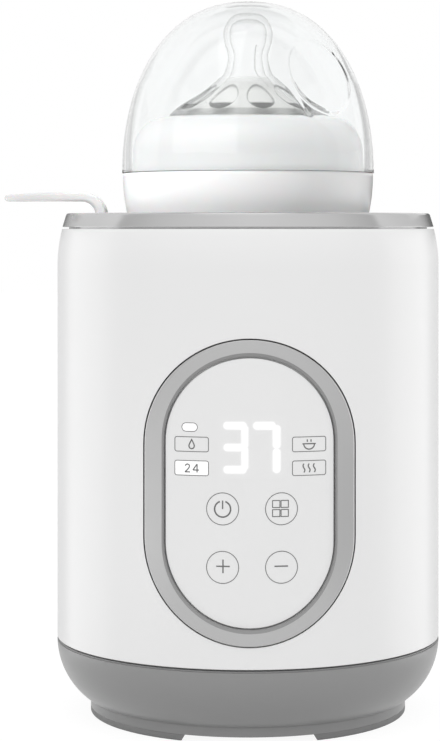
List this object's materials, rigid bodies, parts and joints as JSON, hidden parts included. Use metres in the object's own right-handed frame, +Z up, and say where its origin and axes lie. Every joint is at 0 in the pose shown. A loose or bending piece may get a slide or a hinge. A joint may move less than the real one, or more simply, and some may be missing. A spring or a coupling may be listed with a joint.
{
  "type": "bottle warmer",
  "caption": "Round countertop water-bath bottle warmer with an oval touch panel, a lifting basket with a side handle, and a wide-neck feeding bottle under a clear dome cap standing in it.",
  "frame": {"origin": "on the table, where the warmer's upright axis meets the underside of its rubber foot", "axes": "+Z up along the warmer's axis, -Y out of the control panel, -X towards the basket's handle"},
  "size_m": [0.1253, 0.1117, 0.2042],
  "materials": {
    "white_abs": "glossy white moulded ABS",
    "panel_gloss": "glossy white touch panel with printed key signs",
    "grey_abs": "satin mid-grey moulded ABS",
    "rim_abs": "satin light-grey moulded ABS",
    "bezel_satin": "satin silver-grey paint",
    "foot_rubber": "grey rubber",
    "grommet_rubber": "dark grey rubber",
    "seal_silicone": "silicone seal",
    "steel": "stainless steel",
    "heater_aluminium": "extruded aluminium case",
    "sensor_brass": "plain metal",
    "board_laminate": "green circuit-board laminate",
    "component_black": "black moulded component",
    "led_white": "white light chip",
    "cable_pvc": "PVC insulation",
    "tank_pp": "white moulded polypropylene",
    "basket_pp": "white moulded polypropylene",
    "bottle_clear": "clear blown polypropylene",
    "teat_silicone": "milky clear silicone",
    "ring_pp": "white moulded polypropylene",
    "cap_clear": "clear moulded polypropylene"
  },
  "bodies": {
    "warmer": {"base": "grey_abs", "bottom_cover": "grey_abs", "foot_pad": "foot_rubber", "base_screws": "steel", "cord_grommet": "grommet_rubber", "housing": "white_abs", "top_rim": "rim_abs", "rim_seal": "seal_silicone", "water_tank": "tank_pp", "heating_plate": "steel", "plate_seal": "seal_silicone", "clamp_ring": "steel", "clamp_screws": "steel", "ptc_heater": "heater_aluminium", "heater_strap": "steel", "strap_screws": "steel", "thermistor": "sensor_brass", "thermal_fuse": "steel", "power_board": "board_laminate", "power_components": "component_black", "power_board_screws": "steel", "bezel": "bezel_satin", "touch_panel": "panel_gloss", "control_board": "board_laminate", "display_module": "component_black", "indicator_leds": "led_white", "touch_springs": "sensor_brass", "control_board_screws": "steel", "ribbon_cable": "cable_pvc", "heater_leads": "cable_pvc", "sensor_lead": "cable_pvc"},
    "basket": {"lifting_basket": "basket_pp"},
    "bottle": {"bottle": "bottle_clear"},
    "teat": {"teat": "teat_silicone"},
    "ring": {"screw_ring": "ring_pp"},
    "cap": {"dome_cap": "cap_clear"}
  },
  "joints": [
    {"name": "basket_lift", "type": "slide", "parent": "warmer", "child": "basket", "axis": [0, 0, 1], "range_m": [0, 0.12]},
    {"name": "bottle_lift", "type": "slide", "parent": "basket", "child": "bottle", "axis": [0, 0, 1], "range_m": [0, 0.125]},
    {"name": "teat_rise", "type": "slide", "parent": "bottle", "child": "teat", "axis": [0, 0, 1], "range_m": [0, 0.0051]},
    {"name": "ring_turn", "type": "hinge", "parent": "teat", "child": "ring", "pos_m": [0, 0, 0.1547], "axis": [0, 0, 1], "range_deg": [0, 300]},
    {"name": "cap_pull", "type": "slide", "parent": "ring", "child": "cap", "axis": [0, 0, 1], "range_m": [0, 0.055]}
  ],
  "couplings": [
    {"joint": "teat_rise", "follows": "ring_turn", "m_per_rad": 0.00095493}
  ]
}
